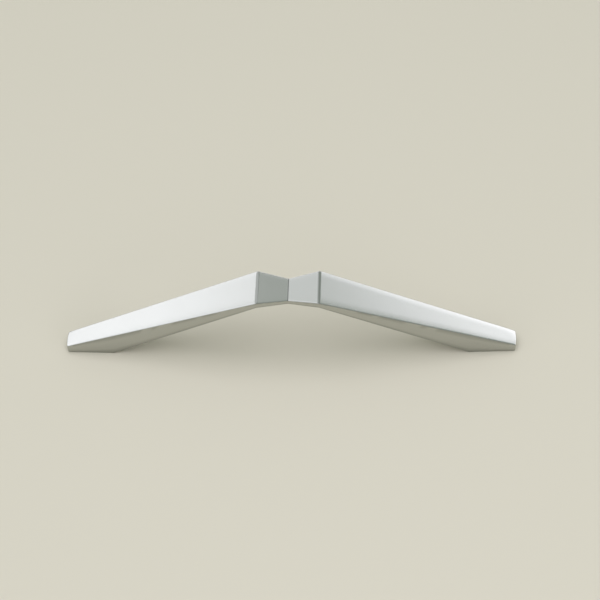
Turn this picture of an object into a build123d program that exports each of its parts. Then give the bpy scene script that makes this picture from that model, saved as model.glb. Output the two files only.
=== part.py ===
from build123d import *
import os
from math import cos, radians, tan

# Furniture bow handle, cast in one piece and screwed on from behind the panel.
# X runs along the handle, Y across it, and Z points away from the panel.
# The origin is midway between the two feet, on the plane that they stand on.
# All sizes are in millimetres and all angles in degrees.

# Along the handle: between the screw holes, past each hole, and from ridge to ridge
hole_spacing = 160.0
hole_to_end = 11.0
hole_to_heel = 8.2
ridge_spacing = 24.8

# Above the panel, to the top surface, before the ridges and the valley are rounded
ridge_height = 33.1
valley_dip = 1.4
end_height = 3.7

# Metal between the top surface and the underside, square to the panel
ridge_thickness = 2.95
valley_thickness = 2.2

# Across the top surface
end_width = 8.2
ridge_width = 18.5
valley_width = 12.6

# Draft of the sides and ends, which lean outwards from the panel, and bulge of the ends
draft_angle = 4.3
end_bulge = 0.3

# Rounding in the side view: of the ridges, of the valley on both its faces, under the ridges,
# and where the foot turns up
ridge_radius = 3.0
valley_radius = 3.0
underside_radius = 1.5
heel_radius = 0.6

# Rounding in the view from above: of the valley at the top, and of the ridges and ends at the panel
valley_corner_radius = 0.8
ridge_corner_radius = 0.8
end_corner_radius = 0.6

# Rounding of the long edges, round the top surface and round the underside
top_edge_radius = 0.45
lower_edge_radius = 0.3

# Blind holes tapped M4 from the panel side, drilled to a conical point
thread_core_radius = 1.65
metal_over_hole = 1.2
drill_point_angle = 118.0
mouth_chamfer = 0.4

# Places worked out from the sizes above
hole_x = hole_spacing / 2
end_x = hole_x + hole_to_end
heel_x = hole_x - hole_to_heel
ridge_x = ridge_spacing / 2
valley_height = ridge_height - valley_dip
arm_slope = (ridge_height - end_height) / (end_x - ridge_x)
toe_x = end_x + end_height / arm_slope
drill_point_length = thread_core_radius / tan(radians(drill_point_angle / 2))
hole_depth = end_height + hole_to_end * arm_slope - metal_over_hole - drill_point_length

# A face counts as a wall if it is steeper than this
steepest_lid = radians(60)


def drafted_in(height):
    """How far a side or an end has leaned in from that height down to the panel."""
    return height * tan(radians(draft_angle))


def rounded(shape, corners):
    """A flat shape with the corner nearest to each point rounded by that point's radius."""
    for point, radius in corners:
        shape = fillet(shape.vertices().sort_by_distance(point)[0], radius)
    return shape


def both_ways(corners):
    """The corners of one half, each with its radius, and the same corners in the other half."""
    return corners + [((-x, y), radius) for (x, y), radius in corners if x > 0]


def side_profile():
    """The handle seen from the side. Its top slopes run on down to the panel."""
    valley, ridge, toe = (0, valley_height), (ridge_x, ridge_height), (toe_x, 0)
    heel, under_ridge = (heel_x, 0), (ridge_x, ridge_height - ridge_thickness)
    under_valley = (0, valley_height - valley_thickness)
    half = Polyline(valley, ridge, toe, heel, under_ridge, under_valley)
    corners = [
        (valley, valley_radius),
        (under_valley, valley_radius),
        (ridge, ridge_radius),
        (under_ridge, underside_radius),
        (heel, heel_radius),
    ]
    return Plane.XZ * rounded(make_face(half + mirror(half, Plane.YZ)), both_ways(corners))


def plan_outline():
    """The handle seen from above, at the panel, where the leaning sides are closest."""
    valley = (0, valley_width / 2 - drafted_in(valley_height))
    ridge = (ridge_x, ridge_width / 2 - drafted_in(ridge_height))
    end = (end_x - drafted_in(end_height), end_width / 2 - drafted_in(end_height))
    corner = (end[0] - end_bulge, end[1])
    side = Polyline(valley, ridge, corner)
    end_arc = ThreePointArc(corner, (end[0], 0), (corner[0], -corner[1]))
    half = Curve() + [side, end_arc, mirror(side, Plane.XZ)]
    corners = [
        (valley, valley_corner_radius + drafted_in(valley_height)),
        (ridge, ridge_corner_radius),
        (corner, end_corner_radius),
    ]
    corners += [((x, -y), radius) for (x, y), radius in corners]
    return rounded(make_face(half + mirror(half, Plane.YZ)), both_ways(corners))


def walls(solid):
    """The steep faces round the outside."""
    return solid.faces().filter_by(lambda face: abs(face.normal_at().Z) < cos(steepest_lid))


def rim(solid, upwards):
    """The edges where the walls meet the faces that look up, or with -1 those that look down."""
    lids = solid.faces().filter_by(lambda face: face.normal_at().Z * upwards > cos(steepest_lid))
    return lids.edges() & walls(solid).edges()


def body():
    """The handle without its holes: drafted, cut to its profile, and its long edges rounded."""
    block = extrude(plan_outline(), amount=ridge_height)
    drafted = draft(walls(block), Plane.XY, -draft_angle)
    solid = drafted & extrude(side_profile(), amount=ridge_width, both=True)
    solid = fillet(rim(solid, 1), top_edge_radius)
    return fillet(rim(solid, -1), lower_edge_radius)


def screw_hole(place):
    """The shape of the hole for one screw at that x, with its chamfered mouth and drilled point."""
    mouth = thread_core_radius + mouth_chamfer
    tip = hole_depth + drill_point_length
    outline = Polyline(
        (0, 0),
        (mouth, 0),
        (thread_core_radius, mouth_chamfer),
        (thread_core_radius, hole_depth),
        (0, tip),
        close=True,
    )
    return Pos(X=place) * revolve(Plane.XZ * make_face(outline), Axis.Z)


handle = body() - [screw_hole(-hole_x), screw_hole(hole_x)]

os.makedirs("parts", exist_ok=True)
export_step(handle.solid(), "parts/handle.step")
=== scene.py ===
from math import cos, pi, radians, sin, tan

import bpy
import numpy as np
from mathutils import Matrix, Vector


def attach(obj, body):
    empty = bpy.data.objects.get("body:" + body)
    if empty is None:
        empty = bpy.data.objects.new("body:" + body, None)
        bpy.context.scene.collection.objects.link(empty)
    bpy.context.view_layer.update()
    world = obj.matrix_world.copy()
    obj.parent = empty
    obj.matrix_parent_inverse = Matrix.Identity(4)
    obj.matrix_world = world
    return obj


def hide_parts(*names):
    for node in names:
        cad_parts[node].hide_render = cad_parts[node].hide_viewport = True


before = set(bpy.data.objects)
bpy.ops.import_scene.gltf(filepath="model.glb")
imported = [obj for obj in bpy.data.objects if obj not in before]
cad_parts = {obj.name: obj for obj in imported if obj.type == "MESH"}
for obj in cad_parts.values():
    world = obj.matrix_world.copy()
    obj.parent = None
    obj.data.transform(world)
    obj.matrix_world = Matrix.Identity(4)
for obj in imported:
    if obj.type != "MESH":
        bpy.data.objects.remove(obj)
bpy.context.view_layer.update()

# The bow handle as one finer skin, with the sizes of the part's source.
# X runs along the handle, Y across it, and Z points away from the panel.
# Everything is in metres, and MM writes small sizes in millimetres.
MM = 0.001

# Along the handle, from its middle
HOLE_X = 80.0 * MM
END_X = 91.0 * MM
HEEL_X = 71.8 * MM
RIDGE_X = 12.4 * MM

# Above the panel, to the top surface, before the ridges and the valley are rounded
RIDGE_HEIGHT = 33.1 * MM
VALLEY_HEIGHT = 31.7 * MM
END_HEIGHT = 3.7 * MM

# Metal between the top surface and the underside, square to the panel
RIDGE_THICKNESS = 2.95 * MM
VALLEY_THICKNESS = 2.2 * MM

# Across the top surface, and how much is taken off each side of a ridge
END_WIDTH = 8.2 * MM
RIDGE_WIDTH = 18.5 * MM
VALLEY_WIDTH = 12.6 * MM
RIDGE_DULL = 0.012 * MM

# How far the sides and ends lean out for each unit of height, and bulge of the ends
DRAFT = tan(radians(4.3))
END_BULGE = 0.3 * MM

# Rounding in the side view, of the upright corners of the ends, and of the long edges
RIDGE_RADIUS = 3.0 * MM
VALLEY_RADIUS = 3.0 * MM
UNDERSIDE_RADIUS = 1.5 * MM
HEEL_RADIUS = 0.6 * MM
END_CORNER_RADIUS = 0.6 * MM
TOP_EDGE_RADIUS = 0.45 * MM
LOWER_EDGE_RADIUS = 0.3 * MM

# Blind M4 holes, cut from below the sole. The thread opens into the wall over a share of its
# pitch, and starts gently past the chamfer.
CORE_RADIUS = 1.65 * MM
THREAD_RADIUS = 2.0 * MM
THREAD_PITCH = 0.7 * MM
THREAD_OPEN = 0.8
THREAD_START = THREAD_PITCH / 2
HOLE_DEPTH = 5.62 * MM
DRILL_POINT_ANGLE = radians(118)
MOUTH_CHAMFER = 0.4 * MM
BELOW_SOLE = 0.5 * MM

# How finely the skin is drawn: steps round its edges, rows down its sides, points across its
# faces from the rims, which close up where a face isn't wide enough to its middle, and the
# strips that are left in the middle
ARC_STEPS = 6
SIDE_ROWS = 3
FACE_STEPS = np.array([0.8, 1.3, 1.9, 2.6, 3.3]) * MM
WIDE_ENOUGH = 3.8 * MM
MIDDLE_STRIPS = 3

# How finely a hole is drawn: corners round it, and rows for each turn of its thread
HOLE_CORNERS = 48
ROWS_PER_TURN = 8

# The lean and bulge of an end set in over the last length, and the profile runs on past the end
END_REACH = 4.0 * MM
RUN_ON = 5.0 * MM

# Faces that turn less than this share a smooth shade, and points this close are in one place
SMOOTH_UP_TO = radians(34)
SAME_PLACE = 0.001 * MM

# How far the top faces fall away at their rims and over what width, the most of a narrow face
# that this takes, and what share of it there is at the ends
RIM_FALL = 0.12 * MM
RIM_REACH = 3.4 * MM
RIM_SHARE = 0.55
END_FALL = 0.15

# How far the polish and the painted shade reach from a rim and from a ridge, and how far to each
# side of the valley, and down from its surface, a line of painted shade runs along the valley
POLISH_AND_SHADE_RIM = 0.2 * MM
POLISH_AND_SHADE_RIDGE = 0.6 * MM
VALLEY_SHADE_REACH = 0.2 * MM
VALLEY_SHADE_DEPTH = 0.3 * MM

# The plating: two tones that it varies between, painted shade on the rims and ridges, and along the
# valley
SATIN_TONES = (0.503, 0.513, 0.483, 1), (0.517, 0.523, 0.493, 1)
POLISHED_SHADE_COLOUR = (0.37, 0.38, 0.355, 1)
VALLEY_SHADE_COLOUR = (0.24, 0.245, 0.23, 1)
SATIN_ROUGHNESS = 0.22, 0.28
POLISHED_ROUGHNESS = 0.12

# Noise in the plating: its scale for each metre, and its detail
TONE_NOISE = 60, 3
GRAIN_NOISE = 5000, 2
GRAIN_STRENGTH = 0.05
GRAIN_DEPTH = 0.05 * MM

# Blender's mix node names the sockets of its colours and numbers alike, so they go by place:
# the factor, and for each kind the first value, the second value and the result
MIX_FACTOR = 0
MIX_SOCKETS = {"FLOAT": (2, 3, 0), "RGBA": (6, 7, 2)}

# The floor, a matt warm grey
FLOOR_COLOUR = (0.648, 0.612, 0.508, 1)
FLOOR_ROUGHNESS = 0.9
FLOOR_GLOSS = 0.1
FLOOR_REACH = 3.0

# The camera, fitted to the handle's edges in the photograph, which is 600 pixels wide. The
# target is in the middle of its picture.
FRAME_PIXELS = 600
FOCAL_PIXELS = 2512.0
SENSOR_WIDTH = 36
CAMERA_YAW = radians(3.67)
CAMERA_ELEVATION = radians(45.0)
CAMERA_ROLL = radians(-2.794)
CAMERA_DISTANCE = 1.0
CAMERA_TARGET = (4.46 * MM, 0, 25.61 * MM)
NEAREST_SEEN = 0.05
FARTHEST_SEEN = 20

# The lamps, which stand this far from the origin, and the even light of the room
LAMP_DISTANCE = 1.2
LAMP_COLOUR = (1.0, 0.97, 1.08)
ROOM_COLOUR = (0.93, 1.0, 0.95, 1)
ROOM_STRENGTH = 0.56


def rounded_line(points, radii):
    """A function that gives the height at x along straight runs between the points.

    Each point but the first and the last is rounded by its radius.
    """
    slopes = [(z1 - z0) / (x1 - x0) for (x0, z0), (x1, z1) in zip(points, points[1:])]

    def height(x):
        z = np.interp(x, [p[0] for p in points], [p[1] for p in points])
        for (corner_x, corner_z), before, after, radius in zip(points[1:], slopes, slopes[1:], radii):
            a, b = np.arctan(before), np.arctan(after)
            reach = radius * abs(tan((b - a) / 2))
            start, stop = corner_x - reach * cos(a), corner_x + reach * cos(b)
            side = 1.0 if b > a else -1.0
            centre_x = start - side * radius * sin(a)
            centre_z = corner_z - reach * sin(a) + side * radius * cos(a)
            drop = np.sqrt(np.clip(radius ** 2 - (x - centre_x) ** 2, 0, None))
            z = np.where((x > start) & (x < stop), centre_z - side * drop, z)
        return z

    return height


arm_slope = (RIDGE_HEIGHT - END_HEIGHT) / (END_X - RIDGE_X)
last_x = END_X + RUN_ON
top_height = rounded_line(
    [
        (-RIDGE_X, RIDGE_HEIGHT),
        (0, VALLEY_HEIGHT),
        (RIDGE_X, RIDGE_HEIGHT),
        (last_x, RIDGE_HEIGHT - arm_slope * (last_x - RIDGE_X)),
    ],
    [VALLEY_RADIUS, RIDGE_RADIUS],
)
under_height = rounded_line(
    [
        (-RIDGE_X, RIDGE_HEIGHT - RIDGE_THICKNESS),
        (0, VALLEY_HEIGHT - VALLEY_THICKNESS),
        (RIDGE_X, RIDGE_HEIGHT - RIDGE_THICKNESS),
        (HEEL_X, 0),
        (last_x, 0),
    ],
    [VALLEY_RADIUS, UNDERSIDE_RADIUS, HEEL_RADIUS],
)


def half_width(x, z):
    """Half the width of the handle at x and z: two flat, leaning sides that meet at a dulled ridge."""
    end_y = END_WIDTH / 2 - END_HEIGHT * DRAFT
    ridge_y = RIDGE_WIDTH / 2 - RIDGE_HEIGHT * DRAFT
    valley_y = VALLEY_WIDTH / 2 - VALLEY_HEIGHT * DRAFT
    at_panel = np.interp(x, [0, RIDGE_X, END_X], [valley_y, ridge_y, end_y])
    return np.minimum(at_panel, ridge_y - RIDGE_DULL) + z * DRAFT


def stations():
    """The places along one half where the handle is sliced, closer where it bends.

    Each run goes on from the one before to a place, in so many slices. The last follows the
    rounded corner of the end.
    """
    runs = [
        (0.4 * MM, 3),
        (1.2 * MM, 2),
        (RIDGE_X - 0.8 * MM, 9),
        (RIDGE_X + 0.8 * MM, 8),
        (RIDGE_X + 3.6 * MM, 3),
        (HEEL_X - 1.2 * MM, 26),
        (HEEL_X - 0.2 * MM, 2),
        (HEEL_X + 0.2 * MM, 4),
        (HEEL_X + 1.2 * MM, 2),
        (END_X - END_REACH, 9),
        (END_X - END_CORNER_RADIUS, 4),
    ]
    places = [0.0]
    for stop, count in runs:
        places += list(np.linspace(places[-1], stop, count + 1)[1:])
    turn = np.linspace(0, pi / 2, ARC_STEPS + 1)[1:]
    return np.array([*places, *(END_X - END_CORNER_RADIUS * (1 - np.sin(turn)))])


def end_inset(to_end, radius):
    """How far a face is drawn in close to the end, where an edge of that radius runs round it."""
    inside = np.clip(radius - to_end, 0, radius)
    return radius - np.sqrt(radius ** 2 - inside ** 2)


def rim_fall(distance, wide):
    """How far a face that is so wide to its middle has fallen away at that distance from its rim."""
    reach = min(RIM_REACH, RIM_SHARE * wide)
    share = np.clip(1 - distance / reach, 0, 1)
    return RIM_FALL * reach / RIM_REACH * share ** 2


def across(x, z_face, radius, up):
    """Points across the top (up is 1) or the underside (up is -1), with a rounded edge at both sides."""
    to_end = END_X - x
    inset = end_inset(to_end, END_CORNER_RADIUS)
    z_face = z_face - up * end_inset(to_end, radius)
    wide = half_width(x, z_face) - inset
    turn = np.linspace(pi / 2, 0, ARC_STEPS + 1)
    steps = FACE_STEPS * min(1.0, wide / WIDE_ENOUGH)
    inner = steps[-1] + (wide - steps[-1]) * np.arange(1, MIDDLE_STRIPS) / MIDDLE_STRIPS
    from_side = np.concatenate([radius * (1 - np.sin(turn)), steps, inner])
    from_face = np.zeros(len(from_side))
    from_face[:len(turn)] = radius * (1 - np.cos(turn))
    z = z_face - up * from_face
    y = half_width(x, z) - inset - from_side
    z_middle = z_face
    if up > 0:
        at_end = END_FALL * rim_fall(to_end, wide)
        z = z - rim_fall(from_side, wide) - at_end
        z_middle = z_face - at_end
    return np.array([*zip(-y, z), (0, z_middle), *zip(y[::-1], z[::-1])])


def slices():
    """The rings of points that the skin is drawn over, from end to end, and how many are on top.

    A ring runs over the top, down the side with the larger y, back along the underside and up.
    """
    half = stations()
    rings = []
    for place in np.concatenate([-half[:0:-1], half]):
        x, side = abs(place), (-1.0 if place < 0 else 1.0)
        top = across(x, float(top_height(x)), TOP_EDGE_RADIUS, 1)
        low = across(x, float(under_height(x)), LOWER_EDGE_RADIUS, -1)
        share = np.linspace(0, 1, SIDE_ROWS + 2)[1:-1, None]
        down = top[-1] + (low[-1] - top[-1]) * share
        ring = np.concatenate([top, down, low[::-1], down[::-1] * (-1, 1)])
        near_end = np.clip(1 - (END_X - x) / END_REACH, 0, 1)
        bulge = END_BULGE * (ring[:, 0] / half_width(x, ring[:, 1])) ** 2
        lean = near_end * ((ring[:, 1] - END_HEIGHT) * DRAFT - bulge)
        rings.append(np.column_stack([side * (x + lean), ring]))
    return rings, len(top)


def cap(start, columns, flip):
    """The faces that close an end: strips from the top of its ring to the underside.

    The ring's points begin at start. At the far end the faces are flipped, to look outwards too.
    """
    top = [start + k for k in range(columns)]
    down = [start + columns + k for k in range(SIDE_ROWS)]
    low = [start + 2 * columns + SIDE_ROWS - 1 - k for k in range(columns)]
    up = [start + 2 * columns + SIDE_ROWS + k for k in range(SIDE_ROWS)]
    faces = [[top[0], top[1], low[1], low[0], *up]]
    for k in range(1, columns - 2):
        faces.append([top[k], top[k + 1], low[k + 1], low[k]])
    faces.append([top[-2], top[-1], *down, low[-1], low[-2]])
    return [face[::-1] for face in faces] if flip else faces


def handle_mesh():
    """The skin of the handle, closed at both ends."""
    rings, columns = slices()
    size = len(rings[0])
    last = (len(rings) - 1) * size
    faces = []
    for start in range(0, last, size):
        for k in range(size):
            a, b = start + k, start + (k + 1) % size
            faces.append([a, a + size, b + size, b])
    faces += cap(0, columns, False)
    faces += cap(last, columns, True)
    mesh = bpy.data.meshes.new("satin_handle")
    mesh.from_pydata([tuple(point) for ring in rings for point in ring], [], faces)
    mesh.update()
    return mesh


def thread_radius(z, turned):
    """The radius of a hole at that height and that share of a turn, with its thread cut into it."""
    fade = min(1.0, (HOLE_DEPTH - z) / THREAD_PITCH, (z - MOUTH_CHAMFER) / THREAD_START)
    phase = (z / THREAD_PITCH - turned) % 1.0
    cut = max(0.0, 1 - abs(2 * phase - 1) / THREAD_OPEN)
    return CORE_RADIUS + (THREAD_RADIUS - CORE_RADIUS) * cut * fade


def hole_cutter(centre_x):
    """What drill and tap take out of a foot: a chamfered mouth, a threaded wall and a conical point."""
    rings = [(-BELOW_SOLE, [CORE_RADIUS + MOUTH_CHAMFER + BELOW_SOLE] * HOLE_CORNERS)]
    rows = int((HOLE_DEPTH - MOUTH_CHAMFER) / THREAD_PITCH * ROWS_PER_TURN)
    for z in np.linspace(MOUTH_CHAMFER, HOLE_DEPTH, rows):
        rings.append((float(z), [thread_radius(z, k / HOLE_CORNERS) for k in range(HOLE_CORNERS)]))
    points = []
    for z, radii in rings:
        for k, radius in enumerate(radii):
            angle = 2 * pi * (k + 0.5) / HOLE_CORNERS
            points.append((centre_x + radius * cos(angle), radius * sin(angle), z))
    points.append((centre_x, 0, -BELOW_SOLE))
    points.append((centre_x, 0, HOLE_DEPTH + CORE_RADIUS / tan(DRILL_POINT_ANGLE / 2)))
    below, tip = len(points) - 2, len(points) - 1
    last = (len(rings) - 1) * HOLE_CORNERS
    faces = []
    for start in range(0, last, HOLE_CORNERS):
        for k in range(HOLE_CORNERS):
            a, b = start + k, start + (k + 1) % HOLE_CORNERS
            faces.append([a, b, b + HOLE_CORNERS, a + HOLE_CORNERS])
    for k in range(HOLE_CORNERS):
        after = (k + 1) % HOLE_CORNERS
        faces.append([after, k, below])
        faces.append([last + k, last + after, tip])
    mesh = bpy.data.meshes.new("cutter")
    mesh.from_pydata(points, [], faces)
    cutter = bpy.data.objects.new("cutter", mesh)
    bpy.context.scene.collection.objects.link(cutter)
    return cutter


def apply_modifiers(piece):
    """Makes the modifiers of a piece part of its mesh."""
    bpy.context.view_layer.update()
    graph = bpy.context.evaluated_depsgraph_get()
    mesh = bpy.data.meshes.new_from_object(piece.evaluated_get(graph))
    piece.modifiers.clear()
    piece.data = mesh


def mark_creases(mesh):
    """Marks the edges that stay crisp: all that turn far, and the mitre below the rounded valley."""
    mesh.set_sharp_from_angle(angle=SMOOTH_UP_TO)
    sharp = mesh.attributes["sharp_edge"]
    for edge in mesh.edges:
        ends = [mesh.vertices[k].co for k in edge.vertices]
        if all(abs(p.x) < SAME_PLACE and p.z < VALLEY_HEIGHT - TOP_EDGE_RADIUS for p in ends):
            sharp.data[edge.index].value = True


def mark_polish_and_shade(mesh):
    """Marks the points on the rims and ridges that are polished smoother and painted with shade, and
    those along the valley that are painted with shade.
    """
    for name in ("polish_and_shade", "valley_shade"):
        mesh.attributes.new(name, "FLOAT", "POINT")
    polish_and_shade, valley_shade = mesh.attributes["polish_and_shade"], mesh.attributes["valley_shade"]
    for vertex in mesh.vertices:
        x, y, z = abs(vertex.co.x), abs(vertex.co.y), vertex.co.z
        from_side = float(half_width(x, z)) - y
        from_top = float(top_height(x)) - z
        near_top = from_top < TOP_EDGE_RADIUS + RIM_FALL
        near_low = z - float(under_height(x)) < LOWER_EDGE_RADIUS + SAME_PLACE
        # Rims and ridges: a smoother polish, and a painted shade in their colour
        on_rim = from_side < POLISH_AND_SHADE_RIM and (near_top or near_low)
        on_ridge = abs(x - RIDGE_X) < POLISH_AND_SHADE_RIDGE and near_top
        # Along the valley: a painted shade only
        in_valley_shade = x < VALLEY_SHADE_REACH and from_top < VALLEY_SHADE_DEPTH
        polish_and_shade.data[vertex.index].value = 1.0 if on_rim or on_ridge else 0.0
        valley_shade.data[vertex.index].value = 1.0 if in_valley_shade else 0.0


def make_handle():
    """The handle with its two holes, shaded so that its flat faces look flat."""
    piece = bpy.data.objects.new("satin_handle", handle_mesh())
    bpy.context.scene.collection.objects.link(piece)
    cutters = [hole_cutter(side * HOLE_X) for side in (-1, 1)]
    for cutter in cutters:
        hole = piece.modifiers.new("hole", "BOOLEAN")
        hole.operation = "DIFFERENCE"
        hole.solver = "EXACT"
        hole.object = cutter
    apply_modifiers(piece)
    for cutter in cutters:
        bpy.data.objects.remove(cutter)
    piece.data.shade_smooth()
    mark_creases(piece.data)
    even = piece.modifiers.new("even_shading", "WEIGHTED_NORMAL")
    even.keep_sharp = True
    apply_modifiers(piece)
    mark_polish_and_shade(piece.data)
    return piece


def noise(tree, place, scale, detail):
    """The output of a noise that is spread over the object by place."""
    node = tree.nodes.new("ShaderNodeTexNoise")
    node.inputs["Scale"].default_value = scale
    node.inputs["Detail"].default_value = detail
    tree.links.new(place, node.inputs["Vector"])
    return node.outputs["Fac"]


def marked(tree, name):
    """The output that is 1 on the points with that mark, and 0 on the others."""
    node = tree.nodes.new("ShaderNodeAttribute")
    node.attribute_name = name
    return node.outputs["Fac"]


def blend(tree, kind, factor, first, second):
    """The output of a mix of two colours (kind is RGBA) or two numbers (kind is FLOAT).

    The second is a value, and the first is a value or another node's output.
    """
    node = tree.nodes.new("ShaderNodeMix")
    node.data_type = kind
    at_first, at_second, at_result = MIX_SOCKETS[kind]
    tree.links.new(factor, node.inputs[MIX_FACTOR])
    if isinstance(first, bpy.types.NodeSocket):
        tree.links.new(first, node.inputs[at_first])
    else:
        node.inputs[at_first].default_value = first
    node.inputs[at_second].default_value = second
    return node.outputs[at_result]


def satin_chrome():
    """Plating with a faint change of tone and a fine grain, smoother rims and ridges, and painted shade
    on the rims, ridges and valley.
    """
    material = bpy.data.materials.new("satin_chrome")
    material.use_nodes = True
    tree = material.node_tree
    shader = tree.nodes["Principled BSDF"]
    shader.inputs["Metallic"].default_value = 1.0
    place = tree.nodes.new("ShaderNodeTexCoord").outputs["Object"]
    tone = noise(tree, place, *TONE_NOISE)
    polish_and_shade, valley_shade = marked(tree, "polish_and_shade"), marked(tree, "valley_shade")

    colour = blend(tree, "RGBA", tone, *SATIN_TONES)
    # Painted shade: the rims and ridges are given a darker colour
    colour = blend(tree, "RGBA", polish_and_shade, colour, POLISHED_SHADE_COLOUR)
    # Painted shade: a dark line along the valley
    colour = blend(tree, "RGBA", valley_shade, colour, VALLEY_SHADE_COLOUR)
    tree.links.new(colour, shader.inputs["Base Color"])

    roughness = blend(tree, "FLOAT", tone, *SATIN_ROUGHNESS)
    roughness = blend(tree, "FLOAT", polish_and_shade, roughness, POLISHED_ROUGHNESS)
    tree.links.new(roughness, shader.inputs["Roughness"])

    bump = tree.nodes.new("ShaderNodeBump")
    bump.inputs["Strength"].default_value = GRAIN_STRENGTH
    bump.inputs["Distance"].default_value = GRAIN_DEPTH
    tree.links.new(noise(tree, place, *GRAIN_NOISE), bump.inputs["Height"])
    tree.links.new(bump.outputs["Normal"], shader.inputs["Normal"])
    return material


def floor_material():
    """One even colour, nearly without gloss."""
    material = bpy.data.materials.new("floor")
    material.use_nodes = True
    shader = material.node_tree.nodes["Principled BSDF"]
    shader.inputs["Base Color"].default_value = FLOOR_COLOUR
    shader.inputs["Roughness"].default_value = FLOOR_ROUGHNESS
    shader.inputs["Specular IOR Level"].default_value = FLOOR_GLOSS
    return material


def make_floor():
    """The plain floor that the handle stands on."""
    corners = [(-1, -1), (1, -1), (1, 1), (-1, 1)]
    mesh = bpy.data.meshes.new("floor")
    mesh.from_pydata([(FLOOR_REACH * x, FLOOR_REACH * y, 0) for x, y in corners], [], [[0, 1, 2, 3]])
    floor = bpy.data.objects.new("floor", mesh)
    bpy.context.scene.collection.objects.link(floor)
    floor.data.materials.append(floor_material())


def make_camera():
    """The camera at the photograph's place: in front, a little to the right, raised and rolled."""
    yaw, elevation, roll = CAMERA_YAW, CAMERA_ELEVATION, CAMERA_ROLL
    back = Vector((sin(yaw) * cos(elevation), -cos(yaw) * cos(elevation), sin(elevation)))
    level = Vector((cos(yaw), sin(yaw), 0))
    upright = back.cross(level)
    right = cos(roll) * level + sin(roll) * upright
    up = cos(roll) * upright - sin(roll) * level
    turn = Matrix((right, up, back)).transposed()
    data = bpy.data.cameras.new("camera")
    data.sensor_width = SENSOR_WIDTH
    data.lens = SENSOR_WIDTH * FOCAL_PIXELS / FRAME_PIXELS
    data.clip_start = NEAREST_SEEN
    data.clip_end = FARTHEST_SEEN
    camera = bpy.data.objects.new("camera", data)
    place = Vector(CAMERA_TARGET) + CAMERA_DISTANCE * back
    camera.matrix_world = Matrix.Translation(place) @ turn.to_4x4()
    bpy.context.scene.collection.objects.link(camera)
    bpy.context.scene.camera = camera


def add_softbox(name, azimuth, elevation, wide, high, radiance):
    """A large area light that faces the handle, so many degrees wide and high as seen from there.

    Azimuth 0 is behind the handle, as the camera sees it, and 90 to its right. A white surface
    that the light surrounded would look as bright as the radiance.
    """
    az, el = radians(azimuth), radians(elevation)
    away = Vector((sin(az) * cos(el), cos(az) * cos(el), sin(el)))
    data = bpy.data.lights.new(name, "AREA")
    data.shape = "RECTANGLE"
    data.size = 2 * LAMP_DISTANCE * tan(radians(wide / 2))
    data.size_y = 2 * LAMP_DISTANCE * tan(radians(high / 2))
    data.energy = radiance * pi * data.size * data.size_y
    data.color = LAMP_COLOUR
    light = bpy.data.objects.new(name, data)
    light.visible_camera = False
    light.location = away * LAMP_DISTANCE
    light.rotation_mode = "QUATERNION"
    light.rotation_quaternion = away.to_track_quat("Z", "Y")
    bpy.context.scene.collection.objects.link(light)
    return light


def make_light():
    """An even room, cards that are only seen in gloss, and softboxes that only light what is matt.

    The numbers are azimuth, elevation, width and height in degrees, and radiance.
    """
    world = bpy.data.worlds.new("studio")
    bpy.context.scene.world = world
    world.use_nodes = True
    room = world.node_tree.nodes["Background"]
    room.inputs["Color"].default_value = ROOM_COLOUR
    room.inputs["Strength"].default_value = ROOM_STRENGTH
    cards = [
        add_softbox("card_back", 5, 26, 80, 14, 1.16),
        add_softbox("card_back_low", 5, 9, 80, 20, 0.55),
        add_softbox("card_left", -63, 18, 48, 33, 1.06),
        add_softbox("card_left_high", -46, 47, 60, 42, 0.5),
        add_softbox("card_right", 59, 12, 52, 48, 0.98),
        add_softbox("card_side", -100, 50, 60, 56, 0.8),
        add_softbox("card_front", -140, 14, 50, 24, 1.2),
    ]
    for card in cards:
        card.visible_diffuse = False
    softboxes = [
        add_softbox("softbox_front_left", -140, 14, 50, 24, 2.0),
        add_softbox("softbox_front_right", 140, 14, 50, 24, 2.0),
        add_softbox("softbox_overhead", 190, 82, 66, 66, 1.25),
    ]
    for softbox in softboxes:
        softbox.visible_glossy = False


handle = make_handle()
handle.data.materials.clear()
handle.data.materials.append(satin_chrome())
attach(handle, "root")
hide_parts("handle")

make_floor()
make_light()
make_camera()
bpy.context.scene.view_settings.view_transform = "Standard"
